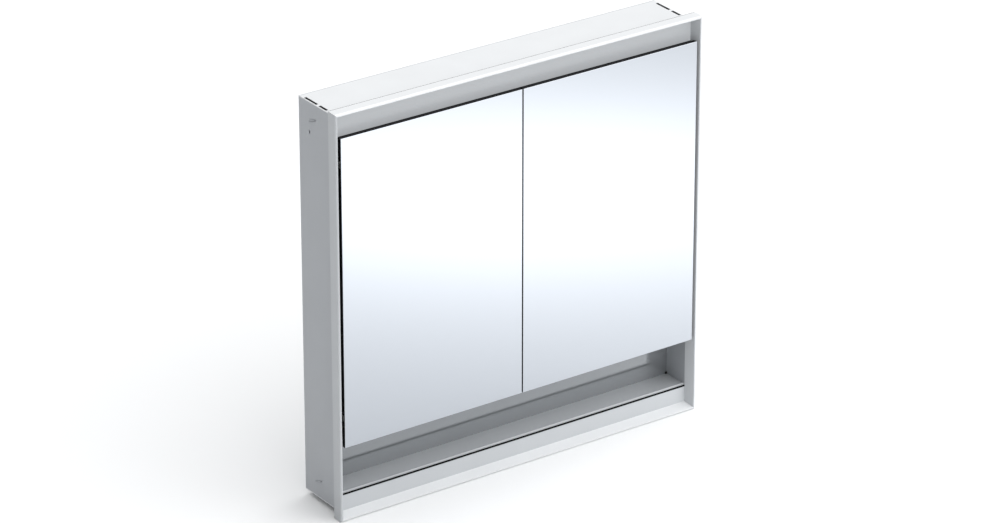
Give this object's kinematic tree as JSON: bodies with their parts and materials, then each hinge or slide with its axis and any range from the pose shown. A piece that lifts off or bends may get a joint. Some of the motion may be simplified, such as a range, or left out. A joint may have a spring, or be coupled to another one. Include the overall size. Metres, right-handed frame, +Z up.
{
  "type": "recessed mirror cabinet",
  "caption": "Recessed aluminium medicine cabinet: mirror doors on side hinges under a light band, with an open niche below, in a slim bevelled trim frame.",
  "frame": {"origin": "middle of the width and depth, at the lower edge of the trim frame", "axes": "+Z up, +X to the right as one faces the doors, +Y to the back, into the wall"},
  "size_m": [0.9, 0.15, 0.9],
  "materials": {
    "black_seal": "matt",
    "body_aluminium": "mill finish sheet",
    "catch_plastic": "black",
    "circuit_board": "white solder mask",
    "door_core": "black anodised, satin",
    "driver_plastic": "white",
    "frame_aluminium": "satin anodised",
    "grommet_rubber": "matt",
    "hinge_steel": "nickel plated",
    "magnet": "nickel plated",
    "mirror_glass": "polished",
    "niche_aluminium": "satin anodised",
    "opal_plastic": "opal, satin",
    "screw_steel": "zinc plated",
    "shelf_glass": "clear, polished edges",
    "switch_plastic": "black",
    "terminal_plastic": "grey"
  },
  "bodies": {
    "cabinet": {"back_panel": "body_aluminium", "base_panel": "body_aluminium", "cabinet_back_lining": "body_aluminium", "cabinet_back_mirror": "mirror_glass", "cabinet_ceiling": "body_aluminium", "cabinet_floor": "body_aluminium", "cabinet_floor_nosing": "niche_aluminium", "cable_grommet": "grommet_rubber", "catch_housings": "catch_plastic", "catch_magnets": "magnet", "centre_partition": "body_aluminium", "frame_bottom_rail": "frame_aluminium", "frame_corner_keys": "screw_steel", "frame_stile_left": "frame_aluminium", "frame_stile_right": "frame_aluminium", "frame_top_rail": "frame_aluminium", "glass_shelf_left_1": "shelf_glass", "glass_shelf_left_2": "shelf_glass", "glass_shelf_left_3": "shelf_glass", "glass_shelf_right_1": "shelf_glass", "glass_shelf_right_2": "shelf_glass", "glass_shelf_right_3": "shelf_glass", "hinge_body_leaves_left": "hinge_steel", "hinge_body_leaves_right": "hinge_steel", "hinge_body_screws": "screw_steel", "hinge_pins": "hinge_steel", "led_board": "circuit_board", "led_driver": "driver_plastic", "light_diffuser": "opal_plastic", "light_reflector": "body_aluminium", "niche_back_panel": "niche_aluminium", "niche_ceiling": "niche_aluminium", "niche_corner_clips": "black_seal", "niche_floor": "niche_aluminium", "niche_floor_seal": "black_seal", "niche_front_lip": "niche_aluminium", "niche_led_strip": "circuit_board", "niche_light_diffuser": "opal_plastic", "roof_panel": "body_aluminium", "shelf_pins": "hinge_steel", "side_liner_left": "body_aluminium", "side_liner_right": "body_aluminium", "side_panel_left": "body_aluminium", "side_panel_right": "body_aluminium", "terminal_box": "terminal_plastic", "touch_switch": "switch_plastic"},
    "door_left": {"door_left_core": "door_core", "door_left_hinge_leaves": "hinge_steel", "door_left_inner_mirror": "mirror_glass", "door_left_leaf_screws": "screw_steel", "door_left_outer_mirror": "mirror_glass", "door_left_strike_plates": "screw_steel"},
    "door_right": {"door_right_core": "door_core", "door_right_hinge_leaves": "hinge_steel", "door_right_inner_mirror": "mirror_glass", "door_right_leaf_screws": "screw_steel", "door_right_outer_mirror": "mirror_glass", "door_right_strike_plates": "screw_steel"}
  },
  "joints": [
    {"name": "door_left_hinge", "type": "hinge", "parent": "cabinet", "child": "door_left", "pos_m": [-0.4315, -0.0685, 0.5067], "axis": [0, 0, -1], "range_deg": [0, 110]},
    {"name": "door_right_hinge", "type": "hinge", "parent": "cabinet", "child": "door_right", "pos_m": [0.4315, -0.0685, 0.5067], "axis": [0, 0, 1], "range_deg": [0, 110]}
  ]
}
